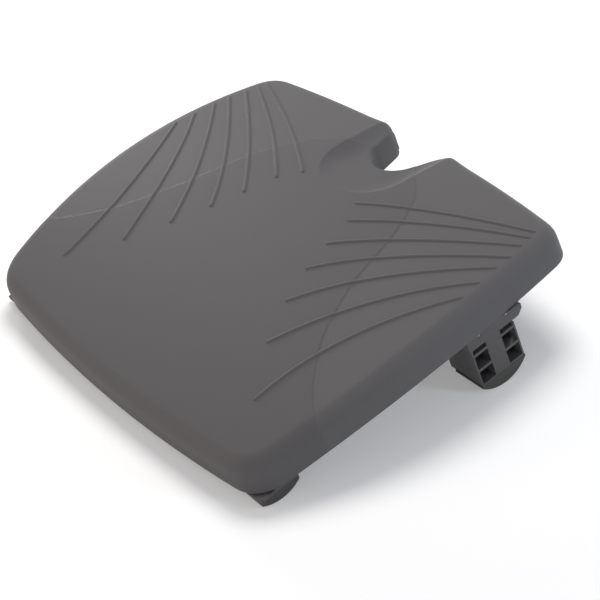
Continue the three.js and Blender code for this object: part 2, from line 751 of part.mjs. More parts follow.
addPiece('tray_shell', geometryOf(traySolid()), trayPlastic);
addPair('rear', 'socket', rearSocket(), trayPlastic);
addPair('rear', 'leg', rearLeg(), legPlastic);
addPair('rear', 'sole', rearSole(), rubber);
addPair('rear', 'click_spring', leaf(rearFoot, rearSocketTop), steel);
addPair('rear', 'spring_screw', leafScrew(rearFoot, rearSocketTop), steel);
rearScrews.forEach((place, i) => {
  addPair('rear', `socket_screw_${i + 1}`, socketScrew(place, rearFlangeTop), steel);
});
rearPinY.forEach((y, i) => addPair('rear', `stop_pin_${i + 1}`, rearPin(y), steel));
addPair('front', 'socket', frontSocket(), trayPlastic);
addPair('front', 'leg', frontLeg(), legPlastic);
addPair('front', 'sole', frontSole(), rubber);
addPair('front', 'click_spring', leaf(frontFoot, frontSocketTop), steel);
addPair('front', 'spring_screw', leafScrew(frontFoot, frontSocketTop), steel);
frontScrews.forEach((place, i) => {
  addPair('front', `socket_screw_${i + 1}`, socketScrew(place, frontFlangeTop), steel);
});
frontPinX.forEach((x, i) => addPair('front', `stop_pin_${i + 1}`, frontPin(x), steel));

// The origin is under the middle of the footrest, on the floor
footrest.updateMatrixWorld(true);
const reach = new THREE.Box3().setFromObject(footrest, true);
tipped.position.set(0, -(reach.min.y + reach.max.y) / 2, -reach.min.z);

export default footrest;
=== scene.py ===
import json
import math

import bmesh
import bpy
from mathutils import Matrix, Vector
from mathutils.geometry import interpolate_bezier


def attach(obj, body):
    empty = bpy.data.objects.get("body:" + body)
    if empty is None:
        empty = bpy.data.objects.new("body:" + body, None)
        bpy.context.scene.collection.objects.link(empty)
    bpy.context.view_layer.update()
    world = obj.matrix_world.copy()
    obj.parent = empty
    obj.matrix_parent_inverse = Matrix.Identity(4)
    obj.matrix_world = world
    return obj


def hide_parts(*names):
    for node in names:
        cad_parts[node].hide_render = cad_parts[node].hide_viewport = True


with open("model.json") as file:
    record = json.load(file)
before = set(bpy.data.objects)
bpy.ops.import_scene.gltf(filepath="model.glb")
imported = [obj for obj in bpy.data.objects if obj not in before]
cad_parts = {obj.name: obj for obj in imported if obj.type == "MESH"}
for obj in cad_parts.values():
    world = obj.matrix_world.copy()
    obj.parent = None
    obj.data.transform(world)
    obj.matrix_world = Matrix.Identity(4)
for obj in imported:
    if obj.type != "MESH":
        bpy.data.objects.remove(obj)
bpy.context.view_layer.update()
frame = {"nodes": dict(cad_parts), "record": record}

# The tray's own frame is in millimetres: X across, Y to the back, Z out of the top of the crown.
SLOPE = math.radians(10.3)
CROWN_PLACE = Vector((0, -0.0066467, 0.0828899))
MILLIMETRE = 0.001
TRAY = (
    Matrix.Translation(CROWN_PLACE)
    @ Matrix.Rotation(SLOPE, 4, "X")
    @ Matrix.Scale(MILLIMETRE, 4)
)

# Tray
TRAY_WIDTH, TRAY_DEPTH = 450, 356
CORNER_X = 200
REAR_BOW, FRONT_BOW = 15.6, 11.8
REAR_CUT, FRONT_CUT = 20, 27
RIM_HEIGHT = 27
SIDE_LEAN = 3.5
EDGE_RADIUS = 11.4
CROWN_RADIUS, RIM_RADIUS = 850, 752
LIP_RADIUS = 0.7
HALF_WIDTH, HALF_DEPTH = TRAY_WIDTH / 2, TRAY_DEPTH / 2
FRONT_CORNER_Y = FRONT_BOW - HALF_DEPTH
REAR_CORNER_Y = HALF_DEPTH - REAR_BOW

# Notch and scoop
NOTCH_RADIUS, NOTCH_END = 27, 126.8
NOTCH_FLARE = math.radians(19)
NOTCH_LIP = 2.2
NOTCH_CORNER = 13
NOTCH_LIP_FROM, NOTCH_LIP_TO = 186, 250
NOTCH_REACH = 84
SCOOP_RADIUS, SCOOP_END = 47, 78.4
SCOOP_DEPTH, SCOOP_FLANK, SCOOP_BLEND = 7, 24, 3.4

# Mesh pitch and the reach of merges and cuts, in millimetres
TOP_PITCH = 3.0
FINE_PITCH = 1.0
FINE_PAST_SCOOP, FINE_BEFORE_SCOOP = 7, 6
CAD_MERGE, TURNED_MERGE, MIRROR_MERGE, CUT_REACH = 0.002, 0.004, 1e-3, 1e-4
LIP_REACH, LIP_FACING = 0.6, -0.8

# Steps along the curves, and the angles past which an edge is sharp
FRONT_STEPS, SIDE_STEPS, REAR_STEPS = 50, 80, 40
FRONT_CORNER_STEPS, REAR_CORNER_STEPS, NOTCH_CORNER_STEPS = 14, 12, 14
FLANK_STEPS, NOTCH_STEPS, LENGTH_STEPS = 8, 30, 200
FILLET_STEPS, LIP_STEPS = 8, 3
CREASE_STEPS, BEAD_STEPS, BEAD_HALF_STEPS, BEAD_END_STEPS = 6, 40, 6, 5
SOLE_STEPS = 40
ROUND_STEPS = 24
SMOOTH_ANGLE, TURNED_ANGLE, SOFT_ANGLE, FLAT_ANGLE = 32, 38, 28, 1

# Raised beads on the right half: inner end, outer end and the point that bows them
BEAD_WIDTH, BEAD_HEIGHT, BEAD_FOOT, BEAD_SINK = 3.2, 1.25, 1.1, 0.03
BEAD_ROUND, BEAD_FOOT_RISE, BEAD_NARROWEST = 0.86, 0.374, 0.02
BEADS = [
    ((150.2, -116.9), (209.3, 54.0), (153.0, -36.6)),
    ((110.8, -73.3), (206.7, 73.3), (149.2, 17.8)),
    ((87.4, -35.7), (203.4, 94.0), (120.9, 26.8)),
    ((70.9, -1.7), (201.9, 109.9), (108.7, 48.1)),
    ((60.6, 28.4), (197.0, 125.4), (108.5, 73.5)),
    ((51.8, 58.3), (193.9, 136.7), (109.4, 101.2)),
    ((37.6, 77.4), (191.1, 144.8), (98.2, 114.1)),
]

# The fine crease that parts the middle of the top from its outer wings, which lie a little lower
CREASE = [
    (46, 136), (58, 127), (76.6, 110.8), (100.7, 69.7), (121, 9.2), (149.8, -44.7), (185.1, -82.1),
    (211, -100), (222, -106),
]
CREASE_DROP, CREASE_HALF = 0.4, 0.3

# Feet: the soles' arc, the small radii of the edges, and the cross recess in the screws' heads
SOLE_RADIUS, SOLE_FACET = 32, math.radians(8)
MOULDED_EDGE, SPRING_EDGE, SOLE_EDGE = 0.45, 0.12, 0.5
EDGE_SEGMENTS = 2
SPRING_SCREW_RECESS, SOCKET_SCREW_RECESS = 0.7, 1.0
RECESS_FLOOR, RECESS_MOUTH, RECESS_BETWEEN = 0.3, 0.42, 0.45
RECESS_ARM = math.pi / 10
LEAST_RADIUS = 0.05

# Finishes: the mottle and grain of the mouldings, the painted sheen that lightens the tray's wings,
# and the brush of the steel
MOTTLE_SCALE, MOTTLE_DETAIL, MOTTLE_SHARE = 9.0, 3.0, 0.6
GRAIN_DETAIL, GRAIN_ROUGHNESS, GRAIN_SHARE = 2.0, 0.6, 0.4
MOTTLE_GLOSS, GRAIN_GLOSS, GLOSSIEST = 0.06, 0.16, 0.2
GRAIN_DEPTH, GRAIN_STRENGTH = 0.00006, 0.6
PLASTIC_SPECULAR = 0.32
# Share of white mixed into the wings beyond the crease, as painted sheen
WING_PAINTED_SHEEN = 0.009
BRUSH_SCALE, BRUSH_STRETCH, BRUSH_GLOSS = 3.0, (60, 60, 900), 0.2
BRUSH_DETAIL, BRUSH_ROUGHNESS, BRUSH_GLOSSIEST = 3.0, 0.5, 0.1
BRUSH_DEPTH, BRUSH_STRENGTH = 0.00002, 0.5


class Socket:
    """A shader socket that can be used in plain arithmetic."""

    def __init__(self, shader, socket):
        self.shader, self.socket = shader, socket

    def _math(self, operation, *others):
        return self.shader.node("ShaderNodeMath", {"operation": operation}, [self, *others])

    def __add__(self, other):
        return self._math("ADD", other)

    __radd__ = __add__

    def __mul__(self, other):
        return self._math("MULTIPLY", other)

    __rmul__ = __mul__

    def clamp(self, low, high):
        return self._math("MAXIMUM", low)._math("MINIMUM", high)


class Shader:
    """One node tree and the node whose sockets it feeds."""

    def __init__(self, owner, surface):
        owner.use_nodes = True
        self.tree = owner.node_tree
        self.surface = self.tree.nodes[surface]

    def node(self, kind, settings=None, inputs=(), output=0):
        made = self.tree.nodes.new(kind)
        for key, value in (settings or {}).items():
            setattr(made, key, value)
        pairs = inputs.items() if isinstance(inputs, dict) else enumerate(inputs)
        for key, value in pairs:
            if isinstance(value, Socket):
                self.tree.links.new(value.socket, made.inputs[key])
            else:
                made.inputs[key].default_value = value
        return Socket(self, made.outputs[output])

    def place(self):
        return self.node("ShaderNodeTexCoord", output="Object")

    def noise(self, scale, detail, roughness=0.5, stretch=(1, 1, 1)):
        place = self.node("ShaderNodeMapping", {}, {"Vector": self.place(), "Scale": stretch})
        settings = {"Vector": place, "Scale": scale, "Detail": detail, "Roughness": roughness}
        return self.node("ShaderNodeTexNoise", {}, settings, "Fac")

    def mix(self, factor, first, second):
        """Two colours: on a node for colours, sockets 6 and 7 take them and output 2 gives one."""
        inputs = {0: factor, 6: first, 7: second}
        return self.node("ShaderNodeMix", {"data_type": "RGBA"}, inputs, 2)

    def ray(self, *kinds):
        """One for the rays of the given kinds, zero for all others."""
        rays = [self.node("ShaderNodeLightPath", output=f"Is {kind} Ray") for kind in kinds]
        return sum(rays[1:], rays[0]).clamp(0, 1)

    def bump(self, height, distance, strength):
        settings = {"Height": height, "Distance": distance, "Strength": strength}
        self.feed(Normal=self.node("ShaderNodeBump", {}, settings))

    def feed(self, **values):
        for key, value in values.items():
            socket = self.surface.inputs[key.replace("_", " ")]
            if isinstance(value, Socket):
                self.tree.links.new(value.socket, socket)
            else:
                socket.default_value = value


def colour(red, green, blue):
    return (red, green, blue, 1)


def principled(name):
    material = bpy.data.materials.new(name)
    return material, Shader(material, "Principled BSDF")


def moulded_plastic(name, dark, light, roughness, grain):
    """Fine spark-eroded moulding: a soft mottle, a grain and small changes of gloss."""
    material, shader = principled(name)
    mottle = shader.noise(MOTTLE_SCALE, MOTTLE_DETAIL)
    fine = shader.noise(grain, GRAIN_DETAIL, GRAIN_ROUGHNESS)
    tone = (mottle * MOTTLE_SHARE + fine * GRAIN_SHARE).clamp(0, 1)
    base = shader.mix(tone, dark, light)
    least = roughness - (MOTTLE_GLOSS + GRAIN_GLOSS) / 2
    shader.feed(
        Base_Color=base,
        Roughness=(fine * GRAIN_GLOSS + mottle * MOTTLE_GLOSS + least).clamp(GLOSSIEST, 1),
        Specular_IOR_Level=PLASTIC_SPECULAR,
    )
    shader.bump(fine, GRAIN_DEPTH, GRAIN_STRENGTH)
    return material, shader, base


def tray_finish():
    """The tray's plastic, with painted sheen: the wings beyond the crease are a little lighter."""
    dark, light = colour(0.079, 0.075, 0.078), colour(0.092, 0.088, 0.091)
    material, shader, base = moulded_plastic("tray_plastic", dark, light, 0.62, 1500)
    wing = shader.node("ShaderNodeAttribute", {"attribute_name": "wing"}, output="Fac")
    # Painted sheen: the wings beyond the crease are mixed a little towards white.
    shader.feed(Base_Color=shader.mix(wing * WING_PAINTED_SHEEN, base, colour(1, 1, 1)))
    return material


def leg_finish():
    dark, light = colour(0.074, 0.071, 0.073), colour(0.088, 0.085, 0.086)
    return moulded_plastic("leg_plastic", dark, light, 0.56, 1300)[0]


def sole_finish():
    dark, light = colour(0.056, 0.057, 0.050), colour(0.070, 0.070, 0.062)
    return moulded_plastic("sole_rubber", dark, light, 0.74, 900)[0]


def steel_finish(name, dark, light, roughness):
    """Drawn steel with a fine brush along its length."""
    material, shader = principled(name)
    brush = shader.noise(BRUSH_SCALE, BRUSH_DETAIL, BRUSH_ROUGHNESS, BRUSH_STRETCH)
    least = roughness - BRUSH_GLOSS / 2
    shader.feed(
        Base_Color=shader.mix(brush, dark, light),
        Roughness=(brush * BRUSH_GLOSS + least).clamp(BRUSH_GLOSSIEST, 1),
        Metallic=1.0,
    )
    shader.bump(brush, BRUSH_DEPTH, BRUSH_STRENGTH)
    return material


FINISHES = {
    "tray_plastic": tray_finish(),
    "leg_plastic": leg_finish(),
    "sole_rubber": sole_finish(),
    "spring_steel": steel_finish(
        "spring_steel", colour(0.30, 0.30, 0.32), colour(0.40, 0.40, 0.42), 0.38,
    ),
    "screw_steel": steel_finish(
        "screw_steel", colour(0.17, 0.17, 0.175), colour(0.24, 0.24, 0.245), 0.50,
    ),
}
SLOTS = {part["node"]: part["material_slot"] for part in frame["record"]["subparts"]}
BODIES = {
    node: body
    for body, nodes in frame["record"]["behaviour"]["bodies"].items()
    for node in nodes
}


def piece(name, bm, body, slot, replaced, smooth_angle=SMOOTH_ANGLE):
    """Turns a mesh in the tray's frame into a finished piece that rides on a body
    and replaces a CAD node.
    """
    mesh = bpy.data.meshes.new(name)
    bm.to_mesh(mesh)
    bm.free()
    mesh.transform(TRAY)
    mesh.shade_smooth()
    mesh.set_sharp_from_angle(angle=math.radians(smooth_angle))
    made = bpy.data.objects.new(name, mesh)
    bpy.context.scene.collection.objects.link(made)
    made.data.materials.append(FINISHES[slot])
    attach(made, body)
    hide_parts(replaced)


def stand_in(node, bm, smooth_angle=SMOOTH_ANGLE):
    """A finished piece in the place of one CAD node."""
    piece(node + "_finished", bm, BODIES[node], SLOTS[node], node, smooth_angle)


def cad_copy(node):
    """A CAD node's mesh, merged and brought into the tray's frame."""
    bm = bmesh.new()
    bm.from_mesh(frame["nodes"][node].data)
    bmesh.ops.transform(bm, matrix=TRAY.inverted(), verts=bm.verts)
    bmesh.ops.remove_doubles(bm, verts=bm.verts, dist=CAD_MERGE)
    return bm


def smooth_step(share):
    share = max(0.0, min(1.0, share))
    return share * share * (3 - 2 * share)


def arc_height(y, z):
    """Where a level of the flat tray lies on its arc, which is tighter at the rim."""
    down = -z / RIM_HEIGHT
    return z - y * y / 2 * ((1 - down) / CROWN_RADIUS + down / RIM_RADIUS)


def flat_height(y, z):
    """The level of the flat tray that a height on its arc came from."""
    stretch = 1 + y * y / 2 / RIM_HEIGHT * (1 / RIM_RADIUS - 1 / CROWN_RADIUS)
    return (z + y * y / 2 / CROWN_RADIUS) / stretch


def leaned(x, z):
    """The sides lean outwards, most at the rim's lower edge."""
    return x * (1 - min(z, 0) / RIM_HEIGHT * SIDE_LEAN / HALF_WIDTH)


def soft_least(first, second, blend):
    share = max(0.0, min(1.0, 0.5 + 0.5 * (second - first) / blend))
    return second * (1 - share) + first * share - blend * share * (1 - share)


def scoop_drop(x, y):
    """How far the scoop in front of the notch lies under the top."""
    centre = SCOOP_END + SCOOP_RADIUS
    reach = abs(x) if y > centre else math.hypot(x, centre - y)
    inside = SCOOP_RADIUS - reach
    if inside <= 0 or y <= SCOOP_END:
        return 0.0
    share = min(1.0, inside / SCOOP_FLANK)
    bowl = SCOOP_DEPTH * (1 - (1 - share) ** 2)
    ramp = SCOOP_DEPTH * min(1.0, (y - SCOOP_END) / (NOTCH_END - SCOOP_END))
    return max(0.0, soft_least(ramp, bowl, SCOOP_BLEND))


def bezier(start, control, end, steps):
    """Points of a quadratic curve, both ends among them."""
    shares = [k / steps for k in range(steps + 1)]
    return [start * (1 - t) ** 2 + control * 2 * t * (1 - t) + end * t * t for t in shares]


def bowed(start, end, bow):
    """A function along an edge that bows outwards."""
    outward = Vector((end.y - start.y, start.x - end.x)).normalized()
    control = (start + end) / 2 + outward * 2 * bow

    def at(t):
        return start * (1 - t) ** 2 + control * 2 * t * (1 - t) + end * t * t

    return at


def length_of(curve):
    points = [curve(k / LENGTH_STEPS) for k in range(LENGTH_STEPS + 1)]
    return sum((b - a).length for a, b in zip(points, points[1:]))


def half_outline():
    """The right half of the tray's edge, from the middle of its front to the end of the notch."""
    front_left = Vector((-CORNER_X, FRONT_CORNER_Y))
    front_right = Vector((CORNER_X, FRONT_CORNER_Y))
    rear_right = Vector((CORNER_X, REAR_CORNER_Y))
    rear_left = Vector((-CORNER_X, REAR_CORNER_Y))
    front = bowed(front_left, front_right, FRONT_BOW)
    side = bowed(front_right, rear_right, HALF_WIDTH - CORNER_X)
    rear = bowed(rear_right, rear_left, REAR_BOW)
    front_cut, side_front_cut = FRONT_CUT / length_of(front), FRONT_CUT / length_of(side)
    side_rear_cut, rear_cut = REAR_CUT / length_of(side), REAR_CUT / length_of(rear)
    points = [front(0.5 + (0.5 - front_cut) * k / FRONT_STEPS) for k in range(FRONT_STEPS + 1)]
    points += bezier(points[-1], front_right, side(side_front_cut), FRONT_CORNER_STEPS)[1:]
    side_run = 1 - side_rear_cut - side_front_cut
    points += [side(side_front_cut + side_run * k / SIDE_STEPS) for k in range(1, SIDE_STEPS + 1)]
    points += bezier(points[-1], rear_right, rear(rear_cut), REAR_CORNER_STEPS)[1:]
    centre = Vector((0, NOTCH_END + NOTCH_RADIUS))
    start = centre + Vector((math.cos(NOTCH_FLARE), -math.sin(NOTCH_FLARE))) * NOTCH_RADIUS
    flank = Vector((math.sin(NOTCH_FLARE), math.cos(NOTCH_FLARE)))
    corner = start + flank * (HALF_DEPTH - start.y) / flank.y
    rear_end = (CORNER_X - corner.x) / (2 * CORNER_X)
    corner = rear(rear_end)
    corner_enter = corner - flank * NOTCH_CORNER
    corner_leave_t = rear_end - NOTCH_CORNER / length_of(rear)
    rear_run = corner_leave_t - rear_cut
    points += [rear(rear_cut + rear_run * k / REAR_STEPS) for k in range(1, REAR_STEPS + 1)]
    points += bezier(points[-1], corner, corner_enter, NOTCH_CORNER_STEPS)[1:]
    points += [corner_enter.lerp(start, k / FLANK_STEPS) for k in range(1, FLANK_STEPS + 1)]
    sweep = math.pi / 2 - NOTCH_FLARE
    for k in range(1, NOTCH_STEPS + 1):
        angle = -NOTCH_FLARE - sweep * k / NOTCH_STEPS
        points.append(centre + Vector((math.cos(angle), math.sin(angle))) * NOTCH_RADIUS)
    points[0].x = 0
    points[-1].x = 0
    return points


def inward_normals(points):
    """Unit vectors into the tray at each point of its half outline."""
    normals = []
    for i, point in enumerate(points):
        before = points[i - 1] if i else Vector((-points[1].x, points[1].y))
        after = points[i + 1] if i + 1 < len(points) else Vector((-points[-2].x, points[-2].y))
        run = after - before
        normals.append(Vector((-run.y, run.x)).normalized())
    return normals


def edge_radius(point):
    """The rounding of the top edge, which shrinks where the rim turns into the notch."""
    if point.y < NOTCH_END or point.x > NOTCH_REACH:
        return EDGE_RADIUS
    share = smooth_step((point.x + point.y - NOTCH_LIP_FROM) / (NOTCH_LIP_TO - NOTCH_LIP_FROM))
    return NOTCH_LIP + (EDGE_RADIUS - NOTCH_LIP) * share


def crease_curve():
    """The crease as a smooth run of points."""
    places = [Vector(p) for p in CREASE]
    points = []
    for i in range(len(places) - 1):
        before = places[max(i - 1, 0)]
        after = places[min(i + 2, len(places) - 1)]
        start, end = places[i], places[i + 1]
        handle_1 = start + (end - before) / 6
        handle_2 = end - (after - start) / 6
        handles = [p.to_3d() for p in (start, handle_1, handle_2, end)]
        run = interpolate_bezier(*handles, CREASE_STEPS + 1)
        points += [p.to_2d() for p in run[:-1]]
    return [*points, places[-1]]


CREASE_LINE = crease_curve()


def crease_side(x, y):
    """Distance from the crease: over zero on the outer wing, under zero on the middle."""
    point = Vector((abs(x), y))
    best, side = math.inf, 1.0
    for a, b in zip(CREASE_LINE, CREASE_LINE[1:]):
        run = b - a
        t = max(0.0, min(1.0, (point - a).dot(run) / run.length_squared))
        away = point - (a + run * t)
        if away.length < best:
            best = away.length
            side = 1.0 if run.x * away.y - run.y * away.x > 0 else -1.0
    return best * side


def wing_share(x, y):
    return max(0.0, min(1.0, (crease_side(x, y) + CREASE_HALF) / (2 * CREASE_HALF)))


def rim_levels(radius):
    """Inset and height of each ring of the rim, from its lower edge to the flat of the top."""
    rings = []
    for k in range(LIP_STEPS + 1):
        angle = math.pi / 2 * k / LIP_STEPS
        inset, rise = LIP_RADIUS * (1 - math.sin(angle)), LIP_RADIUS * (1 - math.cos(angle))
        rings.append((inset, rise - RIM_HEIGHT))
    for k in range(FILLET_STEPS + 1):
        angle = math.pi / 2 * k / FILLET_STEPS
        rings.append((radius * (1 - math.cos(angle)), radius * (math.sin(angle) - 1)))
    return rings


def loft(bm, rows):
    """Extrudes a chain of edges from row to row of places, and returns its last row of vertices."""
    chain = [bm.verts.new(place) for place in rows[0]]
    edges = [bm.edges.new(pair) for pair in zip(chain, chain[1:])]
    for row in rows[1:]:
        grown = bmesh.ops.extrude_edge_only(bm, edges=edges)["geom"]
        fresh = {item for item in grown if isinstance(item, bmesh.types.BMVert)}
        chain = [
            next(e.other_vert(vert) for e in vert.link_edges if e.other_vert(vert) in fresh)
            for vert in chain
        ]
        for vert, place in zip(chain, row):
            vert.co = place
        edges = [bm.edges.get(pair) for pair in zip(chain, chain[1:])]
    return chain


def cut(bm, faces, place, normal):
    """Splits faces along a plane, and returns all of them."""
    geometry = set(faces)
    for face in faces:
        geometry.update(face.edges)
        geometry.update(face.verts)
    made = bmesh.ops.bisect_plane(
        bm, geom=list(geometry), dist=CUT_REACH, plane_co=place, plane_no=normal,
    )
    return [item for item in made["geom"] if isinstance(item, bmesh.types.BMFace)]


def cut_grid(bm, faces, pitch, normal, low, high):
    """Splits faces along evenly spaced planes, and returns all of them."""
    count = round((high - low) / pitch)
    for k in range(1, count):
        faces = cut(bm, faces, normal * (low + (high - low) * k / count), normal)
    return faces


def cut_crease(bm):
    """Splits the top along both sides of the crease, so that its small step is crisp."""
    reach = 3 * TOP_PITCH
    region = {
        face for face in bm.faces
        if face.calc_center_median().z > -EDGE_RADIUS / 2
        and abs(crease_side(*face.calc_center_median().xy)) < reach
    }
    for side in (-CREASE_HALF, CREASE_HALF):
        for a, b in zip(CREASE_LINE, CREASE_LINE[1:]):
            run = (b - a).normalized()
            across = Vector((-run.y, run.x, 0))
            middle = (a + b) / 2
            near = [
                face for face in region
                if (face.calc_center_median().xy - middle).length < (b - a).length / 2 + TOP_PITCH
            ]
            if near:
                region.difference_update(near)
                region.update(cut(bm, near, a.to_3d() + across * side, across))


def tray_half():
    """The right half of the tray's outer skin: its rim, its rounded edge and its top."""
    points = half_outline()
    normals = inward_normals(points)
    levels = [rim_levels(edge_radius(p)) for p in points]
    rows = []
    for k in range(len(levels[0])):
        flat = [p + n * levels[i][k][0] for i, (p, n) in enumerate(zip(points, normals))]
        rows.append([Vector((p.x, p.y, levels[i][k][1])) for i, p in enumerate(flat)])
    bm = bmesh.new()
    wing = bm.verts.layers.float.new("wing")
    across, along = Vector((1, 0, 0)), Vector((0, 1, 0))
    top = bm.faces.new(loft(bm, rows))
    faces = cut_grid(bm, [top], TOP_PITCH, along, -HALF_DEPTH, HALF_DEPTH)
    faces = cut_grid(bm, faces, TOP_PITCH, across, 0, HALF_WIDTH)
    fine_x, fine_y = SCOOP_RADIUS + FINE_PAST_SCOOP, SCOOP_END - FINE_BEFORE_SCOOP
    fine = [
        f for f in faces
        if f.calc_center_median().x < fine_x and f.calc_center_median().y > fine_y
    ]
    fine = cut_grid(bm, fine, FINE_PITCH, along, fine_y, HALF_DEPTH)
    cut_grid(bm, fine, FINE_PITCH, across, 0, fine_x)
    cut_crease(bm)
    for vert in bm.verts:
        x, y, z = vert.co
        if z > LIP_RADIUS - RIM_HEIGHT:
            vert[wing] = wing_share(x, y)
            raised = max(0.0, 1 + z / EDGE_RADIUS)
            fall = scoop_drop(x, y) + CREASE_DROP * vert[wing] * raised
        else:
            fall = 0.0
        vert.co = (leaned(x, z), y, arc_height(y, z) - fall)
    return bm


def cad_inside():
    """The CAD tray's underside, ribs and bosses, without its outer skin and its lower edge."""
    bm = cad_copy("tray_shell")
    lip = [
        face for face in bm.faces
        if face.normal.z < LIP_FACING
        and all(abs(flat_height(*v.co.yz) + RIM_HEIGHT) < LIP_REACH for v in face.verts)
    ]
    bmesh.ops.delete(bm, geom=lip, context="FACES")
    start = max(bm.verts, key=lambda v: v.co.x)
    outer = {start}
    edge_of_search = [start]
    while edge_of_search:
        vert = edge_of_search.pop()
        for edge in vert.link_edges:
            other = edge.other_vert(vert)
            if other not in outer and edge.link_faces:
                outer.add(other)
                edge_of_search.append(other)
    bmesh.ops.delete(bm, geom=list(outer), context="VERTS")
    return bm


def bead_section():
    """Half round with a small fillet at each foot: distance across and height."""
    half = BEAD_WIDTH / 2
    section = []
    for k in range(-BEAD_HALF_STEPS, BEAD_HALF_STEPS + 1):
        away = k / BEAD_HALF_STEPS * (half + BEAD_FOOT)
        if abs(away) < half:
            height = BEAD_HEIGHT * math.sqrt(max(0.0, 1 - (away / half) ** 2 * BEAD_ROUND))
        else:
            foot_share = (half + BEAD_FOOT - abs(away)) / BEAD_FOOT
            height = BEAD_HEIGHT * BEAD_FOOT_RISE * foot_share ** 2
        section.append((away, height))
    return section


def bead(bm, start, end, control, side):
    """One raised grip bead, swept along a bowed line over the crown, with round ends."""
    line = bezier(Vector(start), Vector(control), Vector(end), BEAD_STEPS)
    lengths = [0.0]
    for a, b in zip(line, line[1:]):
        lengths.append(lengths[-1] + (b - a).length)
    total, reach = lengths[-1], BEAD_WIDTH / 2 + BEAD_FOOT
    ends = [
        reach * (1 - math.cos(math.pi / 2 * k / BEAD_END_STEPS)) for k in range(BEAD_END_STEPS)
    ]
    stations = ends + [s for s in lengths if reach < s < total - reach]
    stations += [total - s for s in reversed(ends)]
    rows = []
    for station in stations:
        i = next((k for k, s in enumerate(lengths) if k and s >= station), len(line) - 1)
        at = line[i - 1].lerp(line[i], (station - lengths[i - 1]) / (lengths[i] - lengths[i - 1]))
        run = (line[i] - line[i - 1]).normalized()
        near_end = min(station, total - station, reach)
        narrow = max(BEAD_NARROWEST, math.sqrt(max(0.0, 1 - (1 - near_end / reach) ** 2)))
        row = []
        for away, height in bead_section():
            p = at + Vector((-run.y, run.x)) * away * narrow
            fall = CREASE_DROP * wing_share(p.x, p.y) + BEAD_SINK
            row.append(Vector((side * p.x, p.y, arc_height(p.y, 0) + height * narrow - fall)))
        rows.append(row if side > 0 else row[::-1])
    loft(bm, rows)


def make_tray():
    """The tray: a smooth outer skin joined along its lower edge to the CAD tray's ribbed inside."""
    bm = tray_half()
    bmesh.ops.mirror(
        bm, geom=bm.verts[:] + bm.edges[:] + bm.faces[:], matrix=Matrix.Identity(4),
        merge_dist=MIRROR_MERGE, axis="X",
    )
    bmesh.ops.recalc_face_normals(bm, faces=bm.faces)
    inside = cad_inside()
    loose = bpy.data.meshes.new("inside")
    inside.to_mesh(loose)
    inside.free()
    bm.from_mesh(loose)
    bpy.data.meshes.remove(loose)
    boundary = [edge for edge in bm.edges if edge.is_boundary]
    lip = bmesh.ops.triangle_fill(bm, use_beauty=True, edges=boundary, normal=(0, 0, -1))
    for face in lip["geom"]:
        if isinstance(face, bmesh.types.BMFace) and face.normal.z > 0:
            face.normal_flip()
    for start, end, control in BEADS:
        for side in (1, -1):
            bead(bm, start, end, control, side)
    piece("tray", bm, "platform", "tray_plastic", "tray_shell")


def soften(bm, width):
    """Gives a mesh's sharp edges the small radius that a mould leaves."""
    least = math.radians(SOFT_ANGLE)
    sharp = [e for e in bm.edges if len(e.link_faces) == 2 and e.calc_face_angle(0) > least]
    bmesh.ops.bevel(
        bm, geom=sharp, offset=width, offset_type="OFFSET", affect="EDGES", segments=EDGE_SEGMENTS,
        profile=0.5, material=-1, clamp_overlap=True,
    )


def softened(node, width):
    """A CAD node's own shape with its sharp edges softened."""
    bm = cad_copy(node)
    bmesh.ops.dissolve_limit(
        bm, angle_limit=math.radians(FLAT_ANGLE), verts=bm.verts, edges=bm.edges,
        use_dissolve_boundaries=False,
    )
    soften(bm, width)
    stand_in(node, bm)


def make_sole(node):
    """A rocker sole on one smooth arc, in the place and with the ends of the CAD one."""
    cad = cad_copy(node)
    low_y = min(v.co.y for v in cad.verts)
    high_y = max(v.co.y for v in cad.verts)
    ends = [v.co for v in cad.verts if v.co.y - low_y < 0.01]
    low_x, high_x = min(p.x for p in ends), max(p.x for p in ends)
    top, bottom = max(p.z for p in ends), min(p.z for p in ends)
    cad.free()
    half = (high_y - low_y) / 2
    corner_radius = SOLE_RADIUS / math.cos(SOLE_FACET / 2)
    rise = math.sqrt(corner_radius ** 2 - half ** 2)
    centre = Vector((low_x, (low_y + high_y) / 2, bottom + rise))
    start_z = centre.z - math.sqrt(SOLE_RADIUS ** 2 - half ** 2)
    bm = bmesh.new()
    first = bm.verts.new((low_x, low_y, start_z))
    bmesh.ops.spin(
        bm, geom=[first], cent=centre, axis=(1, 0, 0), angle=2 * math.asin(half / SOLE_RADIUS),
        steps=SOLE_STEPS, use_merge=False,
    )
    last = max(bm.verts, key=lambda v: v.co.y)
    corners = [bm.verts.new((low_x, high_y, top)), bm.verts.new((low_x, low_y, top))]
    for pair in ((last, corners[0]), corners, (corners[1], first)):
        bm.edges.new(pair)
    bmesh.ops.contextual_create(bm, geom=bm.edges[:])
    grown = bmesh.ops.extrude_face_region(bm, geom=bm.faces[:])["geom"]
    moved = [item for item in grown if isinstance(item, bmesh.types.BMVert)]
    bmesh.ops.translate(bm, verts=moved, vec=(high_x - low_x, 0, 0))
    bmesh.ops.recalc_face_normals(bm, faces=bm.faces)
    soften(bm, SOLE_EDGE)
    stand_in(node, bm)


